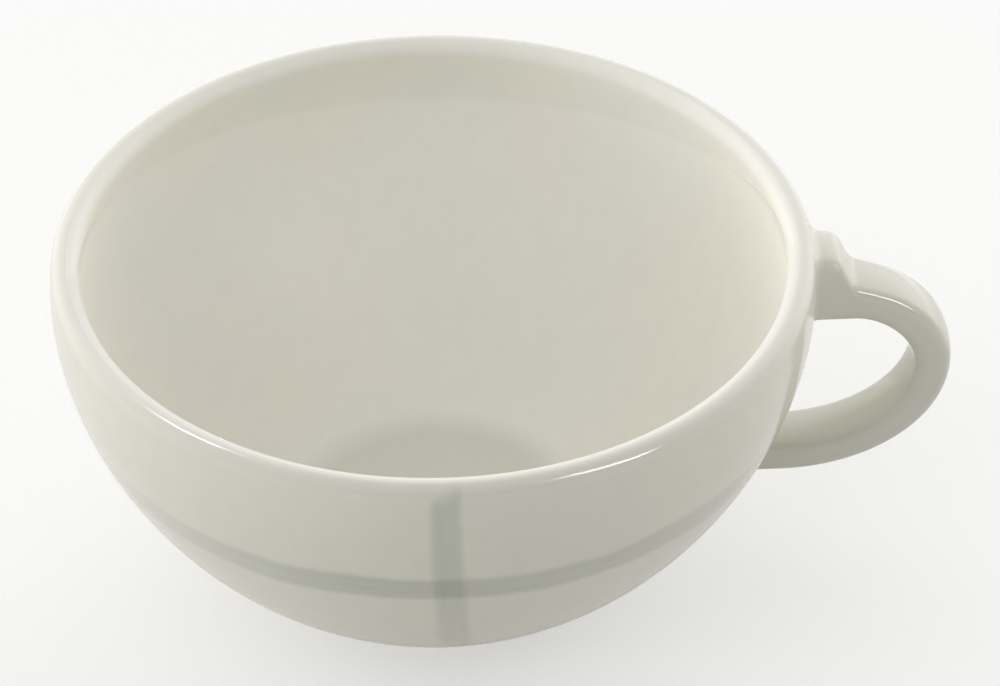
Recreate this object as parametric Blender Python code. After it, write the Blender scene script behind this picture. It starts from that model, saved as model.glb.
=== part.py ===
"""Espresso cup: a low rounded bowl on a foot ring, with a strap handle and a thumb lug luted to its wall.

Metres, +Z up.  The foot stands on z = 0, the handle points along +X, and the origin is the middle of
the cup's box on the standing plane, so the bowl's axis lies a little towards -X.
"""
import math

import bmesh
import bpy
from mathutils import Vector

# Bowl
BOWL_DIAMETER = 0.0800       # the widest circle, just below the lip
CUP_HEIGHT = 0.0405          # standing plane to the top of the lip
BELLY_DROP = 0.0046          # top of the lip down to the widest circle
LIP_DRAW_IN = 0.00015        # how far the lip closes in above the widest circle
WALL_THICKNESS = 0.0030      # at the lip and the widest circle; the lip is a full round
FLOOR_THICKNESS = 0.0034
FLOOR_DIAMETER = 0.0310      # the flat floor inside
BOWL_FLARE = 1.90            # exponents of the bowl's curve, where 2 and 2 make an ellipse:
BOWL_FALL = 1.77             # a lower fall turns in sooner under the widest circle

# Foot ring
FOOT_TOP_DIAMETER = 0.0355   # where the ring meets the bowl
FOOT_DIAMETER = 0.0330       # outer edge at the standing plane
FOOT_HEIGHT = 0.0020         # standing plane to the bowl's underside
FOOT_RING_WIDTH = 0.0030
FOOT_EDGE_RADIUS = 0.0004

# Strap of the handle, along its centreline
STRAP_WIDTH = 0.0065
STRAP_THICKNESS = 0.0038
STRAP_EDGE_RADIUS = 0.0012
HANDLE_REACH = 0.0148        # widest circle to the loop's outer face
UPPER_ARM_DROP = 0.0076      # top of the lip down to the upper arm
UPPER_BEND_LENGTH = 0.0083   # the upper bend is nearly a quarter of an ellipse, this long
UPPER_BEND_HEIGHT = 0.0079   # and this high
UPPER_BEND_FULLNESS = 1.80   # its exponent, where 2 makes an ellipse and less cuts the corner
LOWER_ARM_HEIGHT = 0.0129    # standing plane to the lower arm
LOWER_BEND_LENGTH = 0.0157   # the lower bend is a longer quarter ellipse

# Thumb lug, the raised knuckle that the upper arm grows out of
LUG_LENGTH = 0.0037          # widest circle to the lug's outer face
LUG_RISE = 0.0040            # above the strap
LUG_WIDTH = 0.0066
LUG_EDGE_RADIUS = 0.0015

# Joints: the handle is luted on with slip, which spreads a little past each root
SLIP_THICKNESS = 0.0006
SLIP_SPREAD = 0.0005
SEAM = 0.0003                # gap between neighbouring pieces

# Facets
TURN_STEPS = 64              # round the cup
BOWL_STEPS = 12              # down the bowl's curve
BELLY_STEPS = 3              # from the widest circle up to the lip
LIP_STEPS = 6
BEND_STEPS = 12              # along each bend of the strap
CORNER_STEPS = 3             # round each rounded edge

bowl_radius = BOWL_DIAMETER / 2
belly_z = CUP_HEIGHT - BELLY_DROP
lip_z = CUP_HEIGHT - WALL_THICKNESS / 2
floor_z = FOOT_HEIGHT + FLOOR_THICKNESS
upper_arm_z = CUP_HEIGHT - UPPER_ARM_DROP
root_gap = SEAM + SLIP_THICKNESS + SEAM
lug_face_x = bowl_radius + LUG_LENGTH
lug_top_z = upper_arm_z + STRAP_THICKNESS / 2 + LUG_RISE
crest_x = bowl_radius + HANDLE_REACH - STRAP_THICKNESS / 2


def clear_scene():
    for old in list(bpy.data.objects):
        bpy.data.objects.remove(old, do_unlink=True)


def material(name, colour, roughness):
    """A non-metallic Principled BSDF; colour is linear RGB."""
    made = bpy.data.materials.new(name)
    made.use_nodes = True
    shader = made.node_tree.nodes["Principled BSDF"]
    shader.inputs["Base Color"].default_value = (*colour, 1.0)
    shader.inputs["Roughness"].default_value = roughness
    shader.inputs["Metallic"].default_value = 0.0
    return made


def place(name, mesh_data, surface, parent):
    """Turn a finished bmesh into a named object with outward faces, on the cup's axis."""
    bmesh.ops.recalc_face_normals(mesh_data, faces=mesh_data.faces)
    mesh = bpy.data.meshes.new(name)
    mesh_data.to_mesh(mesh)
    mesh_data.free()
    mesh.shade_smooth()
    mesh.set_sharp_from_angle(angle=math.radians(40))
    if surface:
        mesh.materials.append(surface)
    made = bpy.data.objects.new(name, mesh)
    made.parent = parent
    bpy.context.scene.collection.objects.link(made)
    return made


def combine(target, operation, cutter):
    """Boolean a hidden cutter into the target."""
    cutter.hide_render = True
    cutter.display_type = "WIRE"
    cut = target.modifiers.new(operation.lower(), "BOOLEAN")
    cut.operation = operation
    cut.object = cutter


def turned(profile, closed):
    """Spin (radius, height) points round the axis; an open profile starts and ends on the axis."""
    turned_mesh = bmesh.new()
    points = [turned_mesh.verts.new((radius, 0.0, height)) for radius, height in profile]
    edges = [turned_mesh.edges.new(pair) for pair in zip(points, points[1:])]
    if closed:
        edges.append(turned_mesh.edges.new((points[-1], points[0])))
    bmesh.ops.spin(turned_mesh, geom=points + edges, cent=(0, 0, 0), axis=(0, 0, 1),
                   angle=math.tau, steps=TURN_STEPS, use_merge=True)
    bmesh.ops.remove_doubles(turned_mesh, verts=turned_mesh.verts, dist=SEAM / 100)
    return turned_mesh


def lofted(rings):
    """Skin a row of equal point rings and close both ends."""
    skin = bmesh.new()
    loops = [[skin.verts.new(point) for point in ring] for ring in rings]
    count = len(loops[0])
    for near, far in zip(loops, loops[1:]):
        for index in range(count):
            after = (index + 1) % count
            skin.faces.new((near[index], near[after], far[after], far[index]))
    skin.faces.new(loops[0])
    skin.faces.new(loops[-1])
    return skin


def arc(centre, radius, start, end, steps):
    """Points on a circle between two angles in degrees, both ends included."""
    angles = [math.radians(start + (end - start) * step / steps) for step in range(steps + 1)]
    return [(centre[0] + radius * math.cos(a), centre[1] + radius * math.sin(a)) for a in angles]


def rounded_rectangle(width, height, radius):
    """An outline round (0, 0), anticlockwise, with arcs for corners."""
    radius = min(radius, width / 2, height / 2)
    across, up = width / 2 - radius, height / 2 - radius
    corners = [(across, up, 0), (-across, up, 90), (-across, -up, 180), (across, -up, 270)]
    return [point for x, y, start in corners
            for point in arc((x, y), radius, start, start + 90, CORNER_STEPS)]


def section(centre, outward, outline):
    """Set an outline across the handle: its width along Y, its height along outward."""
    return [centre + Vector((0, across, 0)) + outward * up for across, up in outline]


def bowl_curve(radius, low_radius, low_z, grow=0.0):
    """The bowl's curve from the widest circle down to its low edge, set out by grow."""
    last = math.acos((low_radius / radius) ** (BOWL_FLARE / 2))
    depth = (belly_z - low_z) / math.sin(last) ** (2 / BOWL_FALL)
    angles = [last * step / BOWL_STEPS for step in range(BOWL_STEPS + 1)]
    return [((radius + grow) * math.cos(a) ** (2 / BOWL_FLARE),
             belly_z - (depth + grow) * math.sin(a) ** (2 / BOWL_FALL)) for a in angles]


def lip_curve(radius):
    """From the lip's side down to just above the widest circle, drawn in towards the lip."""
    shares = [step / BELLY_STEPS for step in range(BELLY_STEPS, 0, -1)]
    return [(radius - LIP_DRAW_IN * share ** 2, belly_z + (lip_z - belly_z) * share) for share in shares]


def outer_wall(grow=0.0):
    """The outside of the bowl from the lip's side down to the foot ring."""
    return lip_curve(bowl_radius + grow) + bowl_curve(bowl_radius, FOOT_TOP_DIAMETER / 2, FOOT_HEIGHT, grow)


def bowl(surface, parent):
    inner_radius = bowl_radius - WALL_THICKNESS
    inside = lip_curve(inner_radius) + bowl_curve(inner_radius, FLOOR_DIAMETER / 2, floor_z)
    lip_centre = (bowl_radius - LIP_DRAW_IN - WALL_THICKNESS / 2, lip_z)
    lip = arc(lip_centre, WALL_THICKNESS / 2, 180, 0, LIP_STEPS)
    profile = [(0, floor_z)] + inside[::-1] + lip[1:-1] + outer_wall() + [(0, FOOT_HEIGHT)]
    return place("bowl", turned(profile, closed=False), surface, parent)


def foot_ring(surface, parent):
    """A tapered ring under the bowl; its outside carries on from the bowl's curve."""
    top = FOOT_HEIGHT - SEAM
    edge = FOOT_EDGE_RADIUS
    outer = FOOT_DIAMETER / 2
    inner = outer - FOOT_RING_WIDTH
    profile = [(FOOT_TOP_DIAMETER / 2, top)]
    profile += arc((outer - edge, edge), edge, 0, -90, CORNER_STEPS)
    profile += arc((inner + edge, edge), edge, 270, 180, CORNER_STEPS)
    profile += [(inner, top)]
    return place("foot_ring", turned(profile, closed=True), surface, parent)


def wall_cutter(name, grow, parent):
    """The bowl's outside as a solid, set out by grow, to fit the handle's roots to the wall."""
    profile = [(0, CUP_HEIGHT)] + [(bowl_radius + grow, CUP_HEIGHT)] + outer_wall(grow) + [(0, 0)]
    return place(name, turned(profile, closed=False), None, parent)


def power(value, exponent):
    """Raise the size of a value and keep its sign."""
    return math.copysign(abs(value) ** exponent, value)


def strap_path():
    """Centreline stations (centre, outward normal) from the lug round the loop to inside the wall."""
    upper_centre = Vector((crest_x - UPPER_BEND_LENGTH, 0, upper_arm_z - UPPER_BEND_HEIGHT))
    lower_centre = Vector((crest_x - LOWER_BEND_LENGTH, 0, upper_centre.z))
    lower_bend_height = upper_centre.z - LOWER_ARM_HEIGHT
    up, down = Vector((0, 0, 1)), Vector((0, 0, -1))
    path = [(Vector((lug_face_x + SEAM, 0, upper_arm_z)), up)]
    bends = [(upper_centre, UPPER_BEND_LENGTH, UPPER_BEND_HEIGHT, 90, 2 / UPPER_BEND_FULLNESS),
             (lower_centre, LOWER_BEND_LENGTH, lower_bend_height, 0, 1)]
    for centre, length, height, start, bend in bends:
        for step in range(BEND_STEPS + 1):
            angle = math.radians(start - 90 * step / BEND_STEPS)
            cos, sin = math.cos(angle), math.sin(angle)
            point = centre + Vector((length * power(cos, bend), 0, height * power(sin, bend)))
            outward = Vector((height * power(cos, 2 - bend), 0, length * power(sin, 2 - bend))).normalized()
            path.append((point, outward))
    del path[BEND_STEPS + 1]
    path.append((Vector((FOOT_TOP_DIAMETER / 2, 0, LOWER_ARM_HEIGHT)), down))
    return path


def handle_loop(surface, parent, cutter):
    outline = rounded_rectangle(STRAP_WIDTH, STRAP_THICKNESS, STRAP_EDGE_RADIUS)
    rings = [section(centre, outward, outline) for centre, outward in strap_path()]
    made = place("handle_loop", lofted(rings), surface, parent)
    combine(made, "DIFFERENCE", cutter)
    return made


def bar_ring(x, width, low_z, high_z, corner, inset=0.0):
    """A rounded section of a bar that lies along X."""
    outline = rounded_rectangle(width - 2 * inset, high_z - low_z - 2 * inset, corner)
    return section(Vector((x, 0, (low_z + high_z) / 2)), Vector((0, 0, 1)), outline)


def handle_lug(surface, parent, cutter):
    """The knuckle: flush with the strap below, raised above it as a rest for the thumb."""
    size = (LUG_WIDTH, upper_arm_z - STRAP_THICKNESS / 2, lug_top_z, LUG_EDGE_RADIUS)
    rings = [bar_ring(bowl_radius / 2, *size)]
    for x, left in arc((lug_face_x - LUG_EDGE_RADIUS, 0), LUG_EDGE_RADIUS, 90, 0, CORNER_STEPS):
        rings.append(bar_ring(x, *size, inset=LUG_EDGE_RADIUS - left))
    made = place("handle_lug", lofted(rings), surface, parent)
    combine(made, "DIFFERENCE", cutter)
    return made


def slip_joint(name, width, low_z, high_z, surface, parent, outer_cutter, inner_cutter):
    """A layer of slip that follows the wall between it and a root, spread a little past the root."""
    size = (width + 2 * SLIP_SPREAD, low_z - SLIP_SPREAD, high_z + SLIP_SPREAD)
    corner = STRAP_EDGE_RADIUS + SLIP_SPREAD
    rings = [bar_ring(x, *size, corner) for x in (FOOT_TOP_DIAMETER / 2, crest_x)]
    made = place(name, lofted(rings), surface, parent)
    combine(made, "INTERSECT", outer_cutter)
    combine(made, "DIFFERENCE", inner_cutter)
    return made


def espresso_cup():
    clear_scene()
    axis = bpy.data.objects.new("cup_axis", None)
    axis.location = (-HANDLE_REACH / 2, 0, 0)
    bpy.context.scene.collection.objects.link(axis)

    glaze = (0.68, 0.66, 0.59)
    root_cutter = wall_cutter("root_cutter", root_gap, axis)
    slip_outside = wall_cutter("slip_outside", SEAM + SLIP_THICKNESS, axis)
    slip_inside = wall_cutter("slip_inside", SEAM, axis)

    bowl(material("bowl_glaze", glaze, 0.12), axis)
    foot_ring(material("foot_bisque", (0.62, 0.57, 0.48), 0.75), axis)
    handle_loop(material("loop_glaze", glaze, 0.12), axis, root_cutter)
    handle_lug(material("lug_glaze", glaze, 0.12), axis, root_cutter)

    half_strap = STRAP_THICKNESS / 2
    slip_joint("upper_slip_joint", LUG_WIDTH, upper_arm_z - half_strap, lug_top_z,
               material("upper_slip_glaze", glaze, 0.15), axis, slip_outside, slip_inside)
    slip_joint("lower_slip_joint", STRAP_WIDTH, LOWER_ARM_HEIGHT - half_strap, LOWER_ARM_HEIGHT + half_strap,
               material("lower_slip_glaze", glaze, 0.15), axis, slip_outside, slip_inside)


espresso_cup()
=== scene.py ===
"""Looks of the espresso cup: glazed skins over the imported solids, brushed stripes, light and camera."""
import math

import bpy
import numpy as np
from mathutils import Euler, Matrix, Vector


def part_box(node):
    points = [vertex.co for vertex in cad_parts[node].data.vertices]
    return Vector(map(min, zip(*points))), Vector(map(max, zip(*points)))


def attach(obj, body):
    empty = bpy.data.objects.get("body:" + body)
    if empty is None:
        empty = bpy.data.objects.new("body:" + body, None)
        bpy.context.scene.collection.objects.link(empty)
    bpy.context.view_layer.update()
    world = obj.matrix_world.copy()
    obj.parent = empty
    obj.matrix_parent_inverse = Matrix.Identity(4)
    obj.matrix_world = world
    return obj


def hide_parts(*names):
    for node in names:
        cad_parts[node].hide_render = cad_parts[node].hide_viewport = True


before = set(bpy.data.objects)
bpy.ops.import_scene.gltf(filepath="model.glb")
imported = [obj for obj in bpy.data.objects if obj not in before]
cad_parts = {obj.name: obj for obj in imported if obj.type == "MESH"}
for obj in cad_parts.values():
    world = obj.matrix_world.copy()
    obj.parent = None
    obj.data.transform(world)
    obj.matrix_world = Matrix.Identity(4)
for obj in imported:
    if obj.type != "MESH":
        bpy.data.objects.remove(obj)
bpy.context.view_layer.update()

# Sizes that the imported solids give, measured from the bowl's axis
bowl_low, bowl_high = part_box("bowl")
foot_low, foot_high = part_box("foot_ring")
loop_low, loop_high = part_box("handle_loop")
_, lug_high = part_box("handle_lug")
axis_x = (bowl_low.x + bowl_high.x) / 2
bowl_radius = (bowl_high.x - bowl_low.x) / 2
lip_top = bowl_high.z
seat_z = bowl_low.z
foot_top_radius = (foot_high.x - foot_low.x) / 2
reach = loop_high.x - axis_x
lug_top = lug_high.z
lug_face = lug_high.x - axis_x

# The bowl's own form, as the solids have it
WALL = 0.0030
BELLY_DROP = 0.0046                  # top of the lip down to the widest circle
LIP_DRAW_IN = 0.00015                # how far the lip closes in above that circle
BOWL_FLARE = 1.90                    # exponents of the bowl's curve, where 2 and 2 make an ellipse
BOWL_FALL = 1.77
FLOOR_RADIUS = 0.0155
FLOOR_THICKNESS = 0.0034
FLOOR_BLEND = 0.0007                 # softens the floor's corner
AXIS_GAP = 0.0002                    # the underside stops this short of the axis
INSIDE_LAST = math.radians(89.82)    # and the inside at this angle on its curve
belly_z = lip_top - BELLY_DROP
lip_z = lip_top - WALL / 2
floor_z = seat_z + FLOOR_THICKNESS

# The foot ring's own form
FOOT_RADIUS = 0.0165
FOOT_WIDTH = 0.0030
FOOT_EDGE = 0.0005
FOOT_SIDE_SHARE = 0.55               # of its height is upright
FOOT_SWELL = 0.0002                  # how far the side leans out upwards
FOOT_COVE = 0.0007                   # past its seat the ring fairs into the bowl
FOOT_COVE_BEND = (0.0004, 0.0002)    # the cove's control point, out from the edge and down from the seat
FOOT_INNER_COVE = 0.0008
FOOT_SINK = (0.0004, 0.0006)         # the ring's inner and outer rims run up into the bowl

# The handle's own form; fillets are given sideways, above and below
STRAP_THICKNESS = 0.0038
STRAP_EDGE = 0.0012
STRAP_LEAN = math.radians(12)        # slope of the crowned faces where they meet the edges
STRAP_COAT = 0.00025                 # glaze over the clay
UPPER_BEND_LENGTH = 0.0083
UPPER_BEND_HEIGHT = 0.0079
UPPER_BEND_FULLNESS = 1.80
LOWER_BEND_LENGTH = 0.0157
LUG_STEP_BACK = 0.0006
LUG_DOME = 0.0002
LUG_ROUND = 0.00045
LUG_TAIL = 0.0036
LUG_TAIL_SHARE = 0.13
LUG_TAIL_CURVE = 1.5
UPPER_FILLET = (0.0008, 0.0008, 0.0003)
LOWER_FILLET = (0.0010, 0.0010, 0.0012)
FILLET_SLOPE = 1.2
ROOT_SINK = 0.0005                   # the roots start inside the wall
ROOT_CLEAR = 0.0001                  # and the arm just past the fillet
strap_half_width = (loop_high.y - loop_low.y) / 2
upper_arm_z = loop_high.z - STRAP_THICKNESS / 2
lower_arm_z = loop_low.z + STRAP_THICKNESS / 2
lug_rise = lug_top + LUG_DOME - loop_high.z
strap_half = STRAP_THICKNESS / 2 + STRAP_COAT
crest = reach - strap_half

# Mesh fineness
TURN_STEPS = 256
BOWL_STEPS = 56
RIM_POINTS = 9
LIP_STEPS = 20
UNDER_STEPS = 7
COVE_STEPS = 8
FOOT_STEPS = 6
CORNER_STEPS = 8
FACE_STEPS = 6
LUG_STEPS = 43
BEND_STEPS = 40
LANDING_STEPS = 8
FILLET_STEPS = 8

# Glaze colours, linear RGB
IVORY_WARM = (0.745, 0.724, 0.632)
IVORY_COOL = (0.728, 0.718, 0.634)
IVORY_THIN = (0.790, 0.775, 0.715)
# a darker ivory: the random cloud's tone, and painted shade where the pieces mark it
IVORY_DARK_AND_SHADE = (0.595, 0.592, 0.510)
SPECK = (0.420, 0.400, 0.350)
BARE_CLAY = (0.560, 0.500, 0.410)
BARE_CLAY_DARK = (0.470, 0.405, 0.320)

# Where the glaze runs thin, over the lip and the handle's edges, and painted shade on the floor inside, where
# the foot meets the bowl and along the handle
THIN_REACH = 0.0011
THIN_SHARE = 0.3
HANDLE_THIN = 0.4
SHADE_REACH = 0.0006
SHADE_SHARE = 0.9
FLOOR_SHADE_PAST_EDGE = 0.0008             # painted shade on the floor inside starts past its edge
FLOOR_SHADE_FADE = 0.0035
STRAP_SHADE = 0.45
LOOP_SHADE = 0.22                     # more painted shade on the loop's inner face

# The satin inside, as factors on the ivory, and what it adds to the roughness: a whiter glaze lifted with
# painted light, lighter towards the top, with a painted-shade band below the rim
LINER_TOP_WITH_PAINTED_LIGHT = (1.235, 1.237, 1.285)
LINER_LOW_WITH_PAINTED_LIGHT = (1.098, 1.098, 1.135)
LINER_RIM_WITH_PAINTED_SHADE = (1.080, 1.082, 1.120)
# the outer coat where it runs inside the lip, painted lighter than outside
COAT_INSIDE_PAINTED_LIGHT = (1.175, 1.178, 1.215)
SATIN = 0.50

# The outer coat was dipped over the lip: its line on the inside, lowest at the back
DIP_Z = 0.0398
DIP_SLOPE = -0.180
DIP_SWAY = (60.0, 2.0, 0.0012)       # noise scale, detail and size
DIP_STEP = 0.0003                    # half the width over which its tone changes
DIP_EDGE = 0.0005                    # half the width of its raised edge
DIP_EDGE_SIDES = (0.028, 0.035)      # the edge grows to full height between these distances from the axis
DIP_EDGE_MIDDLE = 0.15               # and has this share of it at the back
DIP_EDGE_FRONT = (0.003, 0.007)      # it starts between these places
COAT_STARTS = 0.2                    # shares of the lip's round between which the outer coat takes over
COAT_ENDS = 0.6

# Fine texture of the glaze and the bare clay: noise scales, heights as factors on the bump's depth
NOISE_ENDS = (0.3, 0.7)
TONE_SCALE = 45.0
TONE_ENDS = (0.35, 0.65)
CLOUD_SCALE = 420.0
CLOUD_ENDS = (0.35, 0.70)
CLOUD_MOST = 0.08
SPECK_CELLS = 112.0
SPECK_CHOSEN = 0.88                  # cells above this value have a speck
SPECK_SIZE = (0.030, 0.008)
SPECK_SHARE = 0.5
GLOSS_SCALE = 160.0
GLOSS = (0.07, 0.13)
SWELL_SCALE = 130.0
SWELL_HEIGHT = 3.0
GRAIN_SCALE = 900.0
GRAIN_HEIGHT = 0.25
DIP_EDGE_HEIGHT = 3.0
BARE_BELOW = 0.00018
BARE_RAGGED = (500.0, 0.0003)        # noise scale and size
BARE_ROUGHNESS = 0.85
CLAY_SCALE = 1600.0
CLAY_GRAIN_SCALE = 2600.0
CLAY_GRAIN_HEIGHT = 2.0
BUMP_STRENGTH = 0.35
BUMP_DEPTH = 0.00006
GLAZE_IOR = 1.52

# Brushed stripes: what a full coat of the pigment lets through, and where the brush went
PIGMENT_BAND = (0.685, 0.725, 0.718)
PIGMENT_STRIPE = (0.740, 0.778, 0.772)
BAND_Z = 0.0262
BAND_WIDTH = 0.0035
BAND_LOSS = 0.45                     # the band is paler at the sides than at the front and back
BAND_LOAD_SCALE = 1.3
BAND_LOAD_LEAST = 0.85
STRIPE_WIDTH = 0.0030
STRIPE_TOP_X = -0.0009
STRIPE_LOW_X = 0.0004
STRIPE_TOP_Z = 0.0400
STRIPE_LOW_Z = 0.0130
STRIPE_LOW_COAT = 0.75               # the brush runs dry on its way down
STRIPE_START_SLOPE = -0.35
STRIPE_START_RAGGED = (400.0, 0.0012)
STRIPE_START = (0.0012, -0.0006)     # it fades in between these heights about its top
STRIPE_END = (0.0010, 0.0040)        # and out between these above the bowl's seat
BRUSH_EDGE = 0.0006
BRUSH_RAGGED = (260.0, 3.0, 0.0009)  # noise scale, detail and size
BRUSH_SWAY = (55.0, 1.0, 0.0016)
STREAK_LEAST = 0.82
STREAKS_ACROSS = 1500.0
STREAKS_ALONG_BAND = 2.5
STREAKS_ALONG_STRIPE = 90.0

# Studio light in rows of soft lamps: elevation, sharpness, and the strengths every 45 degrees round from +X.
# LIGHT falls on the glaze and SHEEN is what the gloss mirrors. GLINTS are single small lamps in the gloss:
# azimuth, elevation, sharpness and strength. The strengths in LIGHT began as a least-squares fit to the
# photograph's tones, and a few were then changed.
LIGHT = [(0, 50, (3.60, 5.00, 0.00, 2.60, 12.0, 0.00, 0.00, 0.00)),
         (4, 20, (1.15, 3.90, 1.20, 4.90, 1.00, 0.10, 0.35, 0.00)),
         (45, 7, (0.24, 0.70, 0.58, 0.31, 0.51, 0.77, 0.57, 0.38))]
SHEEN = [(12, 12, (0.20, 1.50, 1.40, 1.50, 0.25, 0.00, 0.00, 0.00)),
         (45, 12, (0.00, 0.90, 1.05, 0.90, 0.00, 0.00, 0.00, 0.00))]
GLINTS = [(311, 41, 400, 16), (315, 36, 400, 16), (319, 31, 400, 16), (323, 26, 400, 16), (327, 21, 400, 16),
          (140, 57, 450, 7), (136, 58, 400, 12), (131, 59, 400, 12)]

# The floor: its tone to the camera and to the light it bounces, and what it gives off
FLOOR_SIZE = 6.0
FLOOR_DROP = 0.0002
FLOOR_SEEN = (0.55, 0.55, 0.545)
FLOOR_BOUNCE = (0.70, 0.69, 0.67)
FLOOR_GLOW = 0.45                    # to the camera
FLOOR_UNDER_FOOT = 0.60              # to the foot's underside
FLOOR_MIRRORED_NEAR = 0.22           # to the gloss, near the cup and far behind it
FLOOR_MIRRORED_FAR = 1.00
FLOOR_NEAR = 0.05
FLOOR_FAR = 0.28

# Camera at the photograph's angle in degrees, found from the outline of the bowl
IMAGE_WIDTH = 1000
IMAGE_HEIGHT = 686
LIP_CENTRE_PIXEL = (433.3, 258.6)
FOCAL_PIXELS = 5370.5
SENSOR = 36.0
CAMERA_CLIP = (0.01, 20.0)
CAMERA_DISTANCE = 0.56
CAMERA_ELEVATION = 37.1
CAMERA_AZIMUTH = -92.0
CAMERA_ROLL = -0.84


def wall_depth(radius, low_radius, low_z):
    """Depth below the widest circle at which the curve reaches the axis, and its angle at the low edge."""
    last = math.acos((low_radius / radius) ** (BOWL_FLARE / 2))
    return (belly_z - low_z) / math.sin(last) ** (2 / BOWL_FALL), last


outer_depth, outer_last = wall_depth(bowl_radius, foot_top_radius, seat_z)
inner_depth, _ = wall_depth(bowl_radius - WALL, FLOOR_RADIUS, floor_z)
lip_tilt = math.atan(2 * LIP_DRAW_IN / (lip_z - belly_z))


def drawn_in(z):
    """How much the wall has closed in at a height above the widest circle."""
    return LIP_DRAW_IN * ((z - belly_z) / (lip_z - belly_z)) ** 2


lip_start_z = lip_z + WALL / 2 * math.sin(lip_tilt)
lip_centre = bowl_radius - drawn_in(lip_start_z) - WALL / 2 * math.cos(lip_tilt)


def wall_radius(z):
    """Outer radius of the bowl at a height."""
    if z > lip_start_z:
        return lip_centre + math.sqrt(max((WALL / 2) ** 2 - (z - lip_z) ** 2, 0.0))
    if z > belly_z:
        return bowl_radius - drawn_in(z)
    share = min((belly_z - z) / outer_depth, 1.0)
    return bowl_radius * (1 - share ** BOWL_FALL) ** (1 / BOWL_FLARE)


def smooth_max(a, b, width):
    """The larger of two values, rounded over where they cross."""
    h = np.clip(0.5 + 0.5 * (b - a) / width, 0, 1)
    return a * (1 - h) + b * h + width * h * (1 - h)


def bowl_curve(radius, depth, last, steps):
    """(radius, height) points from just below the widest circle down to an angle on the bowl's curve."""
    angles = np.linspace(0, last, steps + 1)[1:]
    return np.column_stack([radius * np.cos(angles) ** (2 / BOWL_FLARE),
                            belly_z - depth * np.sin(angles) ** (2 / BOWL_FALL)])


def arc(centre, radius, start, end, steps):
    """Points on a circle between two angles in degrees."""
    angles = np.radians(np.linspace(start, end, steps + 1))
    return np.column_stack([centre[0] + radius * np.cos(angles), centre[1] + radius * np.sin(angles)])


def bezier(start, bend, end, steps):
    """A curve with one control point."""
    t = np.linspace(0, 1, steps + 1)[:, None]
    return (1 - t) ** 2 * np.array(start) + 2 * t * (1 - t) * np.array(bend) + t ** 2 * np.array(end)


def bell(values, place, width):
    """A bell curve, 1 at a place and fading over a width."""
    return np.exp(-((values - place) / width) ** 2)


def skinned(name, rings, closed, caps, attributes):
    """A smooth mesh through equal rings of points; attributes hold one value a ring or a point."""
    rings = np.asarray(rings)
    count, around = rings.shape[:2]
    index = np.arange(count * around).reshape(count, around)
    near, far = (index, np.roll(index, -1, 0)) if closed else (index[:-1], index[1:])
    quads = np.stack([near, np.roll(near, -1, 1), np.roll(far, -1, 1), far], -1).reshape(-1, 4)
    faces = [tuple(quad) for quad in quads.tolist()]
    if caps:
        faces.append(tuple(index[0][::-1].tolist()))
        faces.append(tuple(index[-1].tolist()))
    mesh = bpy.data.meshes.new(name)
    places = rings.reshape(-1, 3) + np.array([axis_x, 0, 0])
    mesh.from_pydata(places.tolist(), [], faces)
    for key, values in attributes.items():
        layer = mesh.attributes.new(key, "FLOAT", "POINT")
        spread = np.broadcast_to(values, (count, around)).reshape(-1)
        layer.data.foreach_set("value", spread.astype(np.float32))
    mesh.update()
    mesh.shade_smooth()
    made = bpy.data.objects.new(name, mesh)
    bpy.context.scene.collection.objects.link(made)
    return made


def turned(profile):
    """Rings of a (radius, height) profile spun round the axis."""
    angles = np.linspace(0, math.tau, TURN_STEPS, endpoint=False)
    return np.stack([np.column_stack([r * np.cos(angles), r * np.sin(angles), np.full(TURN_STEPS, z)])
                     for r, z in profile])


def make_bowl():
    """Floor, inner wall, full-round lip, outer wall and underside as one closed skin."""
    rise = np.linspace(belly_z, lip_start_z, RIM_POINTS)
    outside_top = np.column_stack([bowl_radius - drawn_in(rise), rise])[::-1]
    tilt = math.degrees(lip_tilt)
    lip = arc((lip_centre, lip_z), WALL / 2, 180 + tilt, tilt, LIP_STEPS)
    inside_rise = np.linspace(belly_z, lip[0][1], RIM_POINTS)
    inside_face = lip[0][0] + drawn_in(lip[0][1])
    inside_top = np.column_stack([inside_face - drawn_in(inside_rise), inside_rise])
    inside = bowl_curve(inside_face, inner_depth, INSIDE_LAST, BOWL_STEPS)
    inside[:, 1] = smooth_max(inside[:, 1], floor_z, FLOOR_BLEND)
    outside = bowl_curve(bowl_radius, outer_depth, outer_last, BOWL_STEPS)
    under_radii = np.linspace(foot_top_radius, AXIS_GAP, UNDER_STEPS + 1)[1:]
    under = np.column_stack([under_radii, np.full(UNDER_STEPS, seat_z)])
    profile = np.vstack([inside[::-1], inside_top, lip[1:-1], outside_top, outside, under])

    radius, height = profile[:, 0], profile[:, 1]
    thin = bell(height, lip_top, THIN_REACH)[:, None]
    on_floor = height > seat_z + FLOOR_THICKNESS / 2
    # painted shade on the floor inside: full in the middle, fading out just past the floor's edge
    floor_shade = on_floor * np.clip((FLOOR_RADIUS + FLOOR_SHADE_PAST_EDGE - radius) / FLOOR_SHADE_FADE, 0, 1)
    round_lip = (np.arange(len(profile)) - len(inside) - len(inside_top)) / LIP_STEPS
    outer = np.clip((round_lip - COAT_STARTS) / (COAT_ENDS - COAT_STARTS), 0, 1)
    outer = outer ** 2 * (3 - 2 * outer)
    return skinned("cup_bowl", turned(profile), False, True,
                   {"thin": thin, "painted_shade": floor_shade[:, None], "outside": outer[:, None]})


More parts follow.
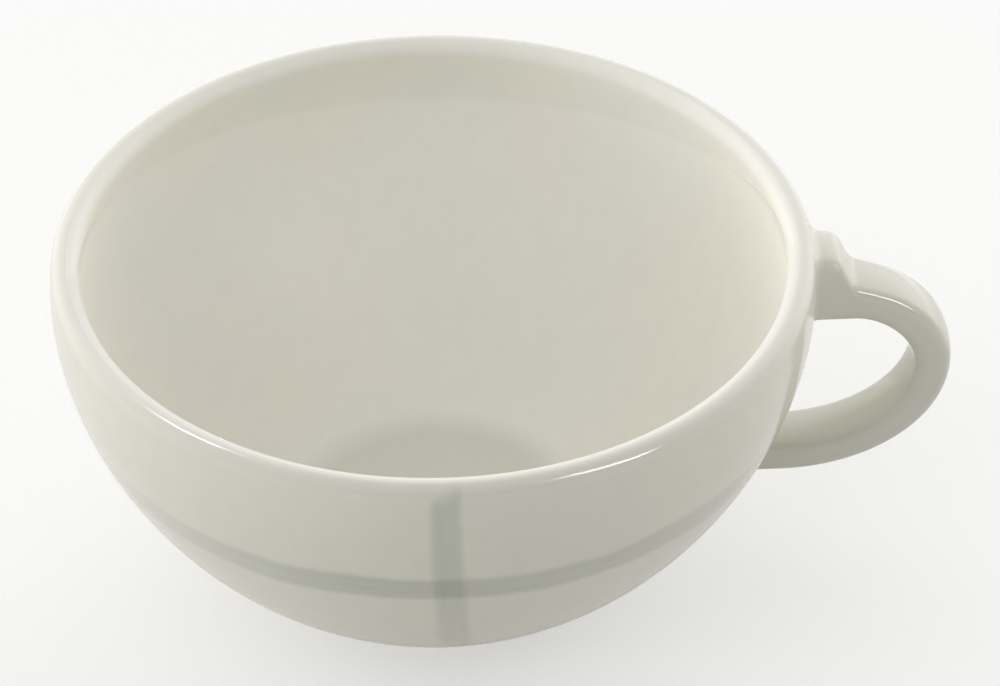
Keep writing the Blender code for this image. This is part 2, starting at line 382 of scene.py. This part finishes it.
def make_foot():
    """The foot ring, faired into the bowl above, with a bare standing face."""
    inner = FOOT_RADIUS - FOOT_WIDTH
    inner_top = inner - FOOT_INNER_COVE
    side_top = FOOT_SIDE_SHARE * seat_z
    cove_radius = foot_top_radius + FOOT_COVE
    cove_z = belly_z - outer_depth * (1 - (cove_radius / bowl_radius) ** BOWL_FLARE) ** (1 / BOWL_FALL)
    cove_bend = (FOOT_RADIUS + FOOT_COVE_BEND[0], seat_z - FOOT_COVE_BEND[1])
    profile = np.vstack([
        bezier((cove_radius, cove_z), cove_bend, (FOOT_RADIUS + FOOT_SWELL, side_top), COVE_STEPS),
        arc((FOOT_RADIUS - FOOT_EDGE, FOOT_EDGE), FOOT_EDGE, 0, -90, FOOT_STEPS),
        arc((inner + FOOT_EDGE, FOOT_EDGE), FOOT_EDGE, -90, -180, FOOT_STEPS),
        bezier((inner, side_top), (inner, seat_z), (inner_top, seat_z), FOOT_STEPS),
        [(inner_top, seat_z + FOOT_SINK[0]), (foot_top_radius, seat_z + FOOT_SINK[1])],
    ])
    # painted shade where the foot meets the bowl
    painted_shade = bell(profile[:, 1], seat_z, SHADE_REACH)[:, None]
    return skinned("cup_foot", turned(profile), True, False, {"thin": 0.0, "painted_shade": painted_shade})


def outline(half_width, half_height):
    """A rounded rectangle with crowned top and bottom, and how far each of its points is on a corner."""
    turn = np.linspace(0, math.pi / 2 - STRAP_LEAN, CORNER_STEPS + 1)
    core = half_width - STRAP_EDGE
    edge = core + STRAP_EDGE * math.sin(STRAP_LEAN)
    crown = edge * math.tan(STRAP_LEAN) / 2
    base = half_height - crown - STRAP_EDGE * math.cos(STRAP_LEAN)
    top_across = np.linspace(edge, 0, FACE_STEPS + 1)[1:]
    across = np.concatenate([np.full(FACE_STEPS, half_width), core + STRAP_EDGE * np.cos(turn), top_across])
    up = np.concatenate([np.linspace(0, base, FACE_STEPS, endpoint=False), base + STRAP_EDGE * np.sin(turn),
                         half_height - crown * (top_across / edge) ** 2])
    corner = np.concatenate([np.zeros(FACE_STEPS), np.sin(2 * turn), np.zeros(FACE_STEPS)])
    across = np.append(across, -across[-2::-1])
    up = np.append(up, up[-2::-1])
    corner = np.append(corner, corner[-2::-1])
    return np.append(across, across[-2:0:-1]), np.append(up, -up[-2:0:-1]), np.append(corner, corner[-2:0:-1])


def root_ring(low_z, high_z, out, spread):
    """A ring that follows the wall at a distance, spread past the root at its sides, top and bottom."""
    side, above, below = spread
    across, up, _ = outline(strap_half_width + side, (high_z + above - low_z + below) / 2)
    heights = (high_z + above + low_z - below) / 2 + up
    radii = np.array([wall_radius(z) for z in heights]) + out
    return np.column_stack([np.sqrt(radii ** 2 - across ** 2), across, heights])


def fillet(low_z, high_z, size):
    """Rings of a root's fillet, from inside the wall outwards."""
    turn = np.linspace(0, math.pi / 2, FILLET_STEPS + 1)
    steps = [(-ROOT_SINK, 1.0)] + list(zip(FILLET_SLOPE * size[0] * (1 - np.cos(turn)), 1 - np.sin(turn)))
    return [root_ring(low_z, high_z, out, [part * share for part in size]) for out, share in steps]


def root_flip(ring):
    """Match a wall ring to the lower arm, whose outward side is down."""
    return ring[-np.arange(len(ring))]


def lug_share(x):
    """1 on the lug and 0 along the strap: a rounded step that runs out in a long hollow."""
    middle = lug_face - LUG_STEP_BACK
    step = 1 / (1 + np.exp((x - middle) / LUG_ROUND))
    tail = np.clip((middle + LUG_TAIL - x) / LUG_TAIL, 0, 1) ** LUG_TAIL_CURVE
    return (1 - LUG_TAIL_SHARE) * step + LUG_TAIL_SHARE * tail


def arm_ring(x, middle_z, half_height, tilt=0.0):
    """A flat ring across the strap, leaning with its centreline."""
    across, up, _ = outline(strap_half_width, half_height)
    return np.column_stack([x + up * math.sin(tilt), across, middle_z + up * math.cos(tilt)])


def power(value, exponent):
    """Raise the size of a value and keep its sign."""
    return math.copysign(abs(value) ** exponent, value)


def make_handle():
    """One skin from the wall through the lug, round the loop and back to the wall."""
    under = upper_arm_z - strap_half
    rings = fillet(under, lug_top + LUG_DOME + STRAP_COAT, UPPER_FILLET)
    root_end = bowl_radius + FILLET_SLOPE * UPPER_FILLET[0] + ROOT_CLEAR
    for x in np.linspace(root_end, crest - UPPER_BEND_LENGTH, LUG_STEPS, endpoint=False):
        tall = strap_half + lug_rise / 2 * lug_share(x)
        rings.append(arm_ring(x, under + tall, tall))

    bend_z = upper_arm_z - UPPER_BEND_HEIGHT
    for length, height, start, bend in [(UPPER_BEND_LENGTH, UPPER_BEND_HEIGHT, 90, 2 / UPPER_BEND_FULLNESS),
                                        (LOWER_BEND_LENGTH, bend_z - lower_arm_z, 0, 1)]:
        for angle in np.radians(np.linspace(start, start - 90, BEND_STEPS, endpoint=False)):
            cos, sin = math.cos(angle), math.sin(angle)
            x = crest - length + length * power(cos, bend)
            z = bend_z + height * power(sin, bend)
            tilt = math.atan2(height * power(cos, 2 - bend), length * power(sin, 2 - bend))
            swell = lug_rise / 2 * lug_share(x) if start == 90 else 0.0
            rings.append(arm_ring(x + swell * math.sin(tilt), z + swell * math.cos(tilt),
                                  strap_half + swell, tilt))

    level = arm_ring(crest - LOWER_BEND_LENGTH, lower_arm_z, strap_half, math.pi)
    landing = fillet(lower_arm_z - strap_half, lower_arm_z + strap_half, LOWER_FILLET)
    landing = [root_flip(ring) for ring in reversed(landing)]
    shares = np.linspace(0, 1, LANDING_STEPS, endpoint=False)
    rings += [level * (1 - share) + landing[0] * share for share in shares]
    rings += landing

    _, up, corner = outline(1, 1)
    inner_face = np.clip(-2 * up - 1, 0, 1)
    # painted shade along the handle past its upper root, and more on the loop's inner face
    past_root = np.clip((np.arange(len(rings)) - FILLET_STEPS) / LUG_STEPS, 0, 1)
    painted_shade = past_root[:, None] * (STRAP_SHADE + LOOP_SHADE * inner_face[None, :])
    return skinned("cup_handle", rings, False, True, {"thin": corner[None, :] * HANDLE_THIN, "painted_shade": painted_shade})


class Nodes:
    """Short names for building one node tree."""

    def __init__(self, tree):
        self.tree = tree
        tree.nodes.clear()

    def add(self, kind, inputs=None, **settings):
        made = self.tree.nodes.new(kind)
        for key, value in settings.items():
            setattr(made, key, value)
        for key, value in (inputs or {}).items():
            if isinstance(value, bpy.types.NodeSocket):
                self.tree.links.new(value, made.inputs[key])
            else:
                made.inputs[key].default_value = value
        return made

    def math(self, operation, first, second=0.0, third=0.0):
        made = self.add("ShaderNodeMath", {0: first, 1: second, 2: third}, operation=operation)
        return made.outputs[0]

    def product(self, first, *others):
        for other in others:
            first = self.math("MULTIPLY", first, other)
        return first

    def place(self):
        """Coordinates of the piece, which ride with it."""
        return self.add("ShaderNodeTexCoord").outputs["Object"]

    def attribute(self, name):
        return self.add("ShaderNodeAttribute", attribute_name=name).outputs["Fac"]

    def parts(self, vector):
        made = self.add("ShaderNodeSeparateXYZ", {"Vector": vector})
        return made.outputs["X"], made.outputs["Y"], made.outputs["Z"]

    def vector(self, x, y=0.0):
        return self.add("ShaderNodeCombineXYZ", {"X": x, "Y": y}).outputs[0]

    def fade(self, value, start, end, low=0.0, high=1.0):
        """From low to high as a value goes from start to end, smoothly."""
        made = self.add("ShaderNodeMapRange", {"Value": value, "From Min": start, "From Max": end,
                                               "To Min": low, "To Max": high},
                        interpolation_type="SMOOTHSTEP")
        return made.outputs["Result"]

    def noise(self, vector, scale, detail=2.0):
        made = self.add("ShaderNodeTexNoise", {"Vector": vector, "Scale": scale, "Detail": detail})
        return made.outputs["Fac"]

    def mottle(self, vector, scale, detail, low=0.0, high=1.0, ends=NOISE_ENDS):
        """Noise stretched to run from low to high between its ends."""
        return self.fade(self.noise(vector, scale, detail), *ends, low, high)

    def sway(self, vector, scale, detail, size):
        """Noise as a shift to either side, of a size from end to end."""
        return self.math("MULTIPLY_ADD", self.noise(vector, scale, detail), size, -size / 2)

    def mix(self, share, first, second, blend="MIX"):
        made = self.add("ShaderNodeMix", {0: share}, data_type="RGBA", blend_type=blend)
        for socket, value in ((made.inputs[6], first), (made.inputs[7], second)):
            if isinstance(value, bpy.types.NodeSocket):
                self.tree.links.new(value, socket)
            else:
                socket.default_value = (*value, 1.0)
        return made.outputs[2]


def new_material(name):
    made = bpy.data.materials.new(name)
    made.use_nodes = True
    return made, Nodes(made.node_tree)


def brushed(nodes, place, streaks, width, offset):
    """A brush stroke's coat: soft ragged edges, and streaks along the stroke."""
    offset = nodes.math("ADD", offset, nodes.sway(place, *BRUSH_RAGGED))
    offset = nodes.math("ADD", offset, nodes.sway(place, *BRUSH_SWAY))
    body = nodes.fade(nodes.math("ABSOLUTE", offset), width / 2 + BRUSH_EDGE, width / 2 - BRUSH_EDGE)
    return nodes.product(body, nodes.mottle(streaks, 1.0, 3.0, low=STREAK_LEAST))


def stripes(nodes, place, colour):
    """One band round the wall, and one upright stripe on the front and one on the back."""
    x, y, z = nodes.parts(place)
    x = nodes.math("SUBTRACT", x, axis_x)
    turn = nodes.math("ARCTAN2", y, x)
    outside = nodes.attribute("outside")

    along = nodes.vector(nodes.product(turn, STREAKS_ALONG_BAND), nodes.product(z, STREAKS_ACROSS))
    band = brushed(nodes, place, along, BAND_WIDTH, nodes.math("SUBTRACT", z, BAND_Z))
    load = nodes.mottle(nodes.vector(turn), BAND_LOAD_SCALE, 1.0, low=BAND_LOAD_LEAST)
    sideways = nodes.math("COSINE", nodes.product(turn, 2.0))
    kept = nodes.math("MULTIPLY_ADD", sideways, -BAND_LOSS, 1 - BAND_LOSS)
    colour = nodes.mix(nodes.product(band, load, kept, outside), colour, PIGMENT_BAND, "MULTIPLY")

    down = nodes.vector(nodes.product(x, STREAKS_ACROSS), nodes.product(z, STREAKS_ALONG_STRIPE))
    lean = (STRIPE_LOW_X - STRIPE_TOP_X) / (STRIPE_LOW_Z - STRIPE_TOP_Z)
    middle = nodes.math("MULTIPLY_ADD", z, lean, STRIPE_TOP_X - lean * STRIPE_TOP_Z)
    upright = brushed(nodes, place, down, STRIPE_WIDTH, nodes.math("SUBTRACT", x, middle))
    scale, size = STRIPE_START_RAGGED
    start = nodes.math("MULTIPLY_ADD", nodes.noise(place, scale), size, z)
    start = nodes.math("MULTIPLY_ADD", x, STRIPE_START_SLOPE, start)
    begun = nodes.fade(start, STRIPE_TOP_Z + STRIPE_START[0], STRIPE_TOP_Z + STRIPE_START[1])
    loaded = nodes.fade(z, STRIPE_LOW_Z, STRIPE_TOP_Z, low=STRIPE_LOW_COAT)
    ended = nodes.fade(z, seat_z + STRIPE_END[0], seat_z + STRIPE_END[1])
    coat = nodes.product(upright, begun, loaded, ended, outside)
    return nodes.mix(coat, colour, PIGMENT_STRIPE, "MULTIPLY")


def lined(nodes, place, colour):
    """The whiter satin inside with painted light, up to the outer coat's raised edge; also its share and that
    edge.
    """
    x, y, z = nodes.parts(place)
    line = nodes.math("MULTIPLY_ADD", y, DIP_SLOPE, DIP_Z)
    line = nodes.math("ADD", line, nodes.sway(place, *DIP_SWAY))
    over = nodes.math("SUBTRACT", z, line)
    within = nodes.math("SUBTRACT", 1.0, nodes.attribute("outside"))

    from_middle = nodes.math("ABSOLUTE", nodes.math("SUBTRACT", x, axis_x))
    sides = nodes.fade(from_middle, *DIP_EDGE_SIDES, low=DIP_EDGE_MIDDLE)
    ridge = nodes.fade(nodes.math("ABSOLUTE", over), DIP_EDGE, 0.0)
    ridge = nodes.product(within, ridge, sides, nodes.fade(y, *DIP_EDGE_FRONT))

    # painted light: lighter towards the top, a painted-shade band below the rim, the outer coat lighter
    # inside the lip
    painted_light_tint = nodes.mix(nodes.fade(z, floor_z, lip_top), LINER_LOW_WITH_PAINTED_LIGHT, LINER_TOP_WITH_PAINTED_LIGHT)
    painted_light_tint = nodes.mix(nodes.fade(z, belly_z, lip_z), painted_light_tint, LINER_RIM_WITH_PAINTED_SHADE)
    painted_light_tint = nodes.mix(nodes.fade(over, DIP_STEP, -DIP_STEP), COAT_INSIDE_PAINTED_LIGHT, painted_light_tint)
    return nodes.mix(within, colour, painted_light_tint, "MULTIPLY"), within, ridge


def glaze(name, striped=False, bare_below=None):
    """Glossy ivory glaze on pale clay: slow tones, thin on edges, painted shade where the pieces mark it,
    painted light inside the striped bowl, a few specks.
    """
    made, nodes = new_material(name)
    place = nodes.place()
    colour = nodes.mix(nodes.mottle(place, TONE_SCALE, 2.0, ends=TONE_ENDS), IVORY_WARM, IVORY_COOL)
    cloud = nodes.mottle(place, CLOUD_SCALE, 3.0, high=CLOUD_MOST, ends=CLOUD_ENDS)
    colour = nodes.mix(cloud, colour, IVORY_DARK_AND_SHADE)
    colour = nodes.mix(nodes.product(nodes.attribute("thin"), THIN_SHARE), colour, IVORY_THIN)
    # painted shade: on the floor inside, where the foot meets the bowl, and along the handle
    colour = nodes.mix(nodes.product(nodes.attribute("painted_shade"), SHADE_SHARE), colour, IVORY_DARK_AND_SHADE)
    satin, ridge = 0.0, 0.0
    if striped:
        colour, satin, ridge = lined(nodes, place, colour)
        colour = stripes(nodes, place, colour)

    cells = nodes.add("ShaderNodeTexVoronoi", {"Vector": place, "Scale": SPECK_CELLS}).outputs
    cell_value = nodes.add("ShaderNodeSeparateColor", {"Color": cells["Color"]}).outputs["Red"]
    chosen = nodes.math("GREATER_THAN", cell_value, SPECK_CHOSEN)
    speck = nodes.fade(cells["Distance"], *SPECK_SIZE, high=SPECK_SHARE)
    colour = nodes.mix(nodes.product(speck, chosen), colour, SPECK)

    rough = nodes.mottle(place, GLOSS_SCALE, 3.0, *GLOSS)
    rough = nodes.math("MULTIPLY_ADD", satin, SATIN, rough)
    height = nodes.product(nodes.noise(place, SWELL_SCALE, 1.0), SWELL_HEIGHT)
    height = nodes.math("MULTIPLY_ADD", nodes.noise(place, GRAIN_SCALE), GRAIN_HEIGHT, height)
    height = nodes.math("MULTIPLY_ADD", ridge, DIP_EDGE_HEIGHT, height)
    if bare_below is not None:
        _, _, z = nodes.parts(place)
        scale, size = BARE_RAGGED
        edge = nodes.math("MULTIPLY_ADD", nodes.noise(place, scale), size, bare_below)
        bare = nodes.math("LESS_THAN", z, edge)
        clay = nodes.mix(nodes.mottle(place, CLAY_SCALE, 4.0), BARE_CLAY, BARE_CLAY_DARK)
        colour = nodes.mix(bare, colour, clay)
        rough = nodes.math("MAXIMUM", rough, nodes.product(bare, BARE_ROUGHNESS))
        grain = nodes.product(nodes.noise(place, CLAY_GRAIN_SCALE, 4.0), bare)
        height = nodes.math("MULTIPLY_ADD", grain, CLAY_GRAIN_HEIGHT, height)
    bump = nodes.add("ShaderNodeBump", {"Height": height, "Strength": BUMP_STRENGTH,
                                        "Distance": BUMP_DEPTH})
    shader = nodes.add("ShaderNodeBsdfPrincipled", {"Base Color": colour, "Roughness": rough,
                                                    "IOR": GLAZE_IOR, "Normal": bump.outputs[0]})
    nodes.add("ShaderNodeOutputMaterial", {"Surface": shader.outputs[0]})
    return made


def dress():
    """Make the pieces, give them their glaze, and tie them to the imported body."""
    pieces = [
        (make_bowl(), glaze("striped_glaze", striped=True), "ivory_glaze", ["bowl"]),
        (make_foot(), glaze("foot_glaze", bare_below=BARE_BELOW), "bare_clay", ["foot_ring"]),
        (make_handle(), glaze("handle_glaze"), "ivory_glaze",
         ["handle_loop", "handle_lug", "upper_slip_joint", "lower_slip_joint"]),
    ]
    for piece, surface, slot, nodes in pieces:
        piece.data.materials.append(surface)
        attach(piece, "root")
        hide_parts(*nodes)


def make_floor():
    """A plain white floor that keeps the cup's shadow; a view from below passes it and finds the foot lit."""
    bpy.ops.mesh.primitive_plane_add(size=FLOOR_SIZE, location=(0, 0, -FLOOR_DROP))
    floor = bpy.context.object
    floor.name = "floor"
    made, nodes = new_material("floor_white")
    rays = nodes.add("ShaderNodeLightPath").outputs
    place = nodes.place()
    from_axis = nodes.add("ShaderNodeVectorMath", {0: place, 1: (axis_x, 0, 0)}, operation="DISTANCE")
    under_foot = nodes.math("LESS_THAN", from_axis.outputs["Value"], FOOT_RADIUS + FOOT_EDGE)
    under_foot = nodes.math("GREATER_THAN", under_foot, rays["Is Camera Ray"])
    _, behind_cup, _ = nodes.parts(place)
    mirrored = nodes.fade(behind_cup, FLOOR_NEAR, FLOOR_FAR, FLOOR_MIRRORED_NEAR, FLOOR_MIRRORED_FAR)
    seen = nodes.product(rays["Is Camera Ray"], FLOOR_GLOW)
    seen = nodes.math("MULTIPLY_ADD", rays["Is Glossy Ray"], mirrored, seen)
    seen = nodes.math("MULTIPLY_ADD", under_foot, FLOOR_UNDER_FOOT, seen)
    tone = nodes.mix(rays["Is Camera Ray"], FLOOR_BOUNCE, FLOOR_SEEN)
    matt = nodes.add("ShaderNodeBsdfDiffuse", {"Color": tone})
    glow = nodes.add("ShaderNodeEmission", {"Color": (1, 1, 1, 1), "Strength": seen})
    both = nodes.add("ShaderNodeAddShader", {0: matt.outputs[0], 1: glow.outputs[0]})
    clear = nodes.add("ShaderNodeBsdfTransparent")
    from_below = nodes.add("ShaderNodeNewGeometry").outputs["Backfacing"]
    surface = nodes.add("ShaderNodeMixShader", {0: from_below, 1: both.outputs[0], 2: clear.outputs[0]})
    nodes.add("ShaderNodeOutputMaterial", {"Surface": surface.outputs[0]})
    floor.data.materials.append(made)


def direction(azimuth, elevation):
    """Unit vector towards a place in the studio given in degrees."""
    a, e = math.radians(azimuth), math.radians(elevation)
    return Vector((math.cos(a) * math.cos(e), math.sin(a) * math.cos(e), math.sin(e)))


def ringed(rows):
    """Single lamps of the rows: azimuth, elevation, sharpness and strength."""
    return [(360 / len(row) * step, elevation, sharpness, strength)
            for elevation, sharpness, row in rows for step, strength in enumerate(row) if strength]


def soft_lights(nodes, facing, lamps):
    """Sum of lamps that fade smoothly with the angle from their middles."""
    total = 0.0
    for azimuth, elevation, sharpness, strength in lamps:
        aim = direction(azimuth, elevation)
        beam = nodes.add("ShaderNodeVectorMath", {0: facing, 1: aim}, operation="DOT_PRODUCT")
        fall = nodes.math("MULTIPLY_ADD", beam.outputs["Value"], sharpness, -sharpness)
        total = nodes.math("MULTIPLY_ADD", nodes.math("EXPONENT", fall), strength, total)
    return total


def make_world():
    """White to the eye; otherwise a studio whose soft lights fade into one another."""
    world = bpy.data.worlds.new("studio")
    bpy.context.scene.world = world
    world.use_nodes = True
    nodes = Nodes(world.node_tree)
    facing = nodes.add("ShaderNodeTexCoord").outputs["Generated"]
    rays = nodes.add("ShaderNodeLightPath").outputs
    shining = nodes.fade(rays["Is Glossy Ray"], 0.0, 1.0, soft_lights(nodes, facing, ringed(LIGHT)),
                         soft_lights(nodes, facing, ringed(SHEEN) + GLINTS))
    seen = nodes.math("MAXIMUM", rays["Is Camera Ray"], rays["Is Transmission Ray"])
    strength = nodes.fade(seen, 0.0, 1.0, shining, 1.0)
    light = nodes.add("ShaderNodeBackground", {"Color": (1, 1, 1, 1), "Strength": strength})
    nodes.add("ShaderNodeOutputWorld", {"Surface": light.outputs[0]})


def make_camera():
    """Look so that the middle of the lip falls on its pixel in the photograph."""
    lens = bpy.data.cameras.new("photo_camera")
    lens.sensor_fit = "HORIZONTAL"
    lens.sensor_width = SENSOR
    lens.lens = FOCAL_PIXELS * SENSOR / IMAGE_WIDTH
    lens.clip_start, lens.clip_end = CAMERA_CLIP
    camera = bpy.data.objects.new("photo_camera", lens)
    away = direction(CAMERA_AZIMUTH, CAMERA_ELEVATION)
    camera.location = Vector((axis_x, 0, lip_z)) + away * CAMERA_DISTANCE
    facing = away.to_track_quat("Z", "Y")
    right = (IMAGE_WIDTH / 2 - LIP_CENTRE_PIXEL[0]) / FOCAL_PIXELS
    down = (IMAGE_HEIGHT / 2 - LIP_CENTRE_PIXEL[1]) / FOCAL_PIXELS
    pan = Euler((-math.atan(down), -math.atan(right), 0)).to_quaternion()
    roll = Euler((0, 0, math.radians(CAMERA_ROLL))).to_quaternion()
    camera.rotation_mode = "QUATERNION"
    camera.rotation_quaternion = facing @ roll @ pan
    bpy.context.scene.collection.objects.link(camera)
    bpy.context.scene.camera = camera


dress()
make_floor()
make_world()
make_camera()
bpy.context.scene.view_settings.view_transform = "Standard"
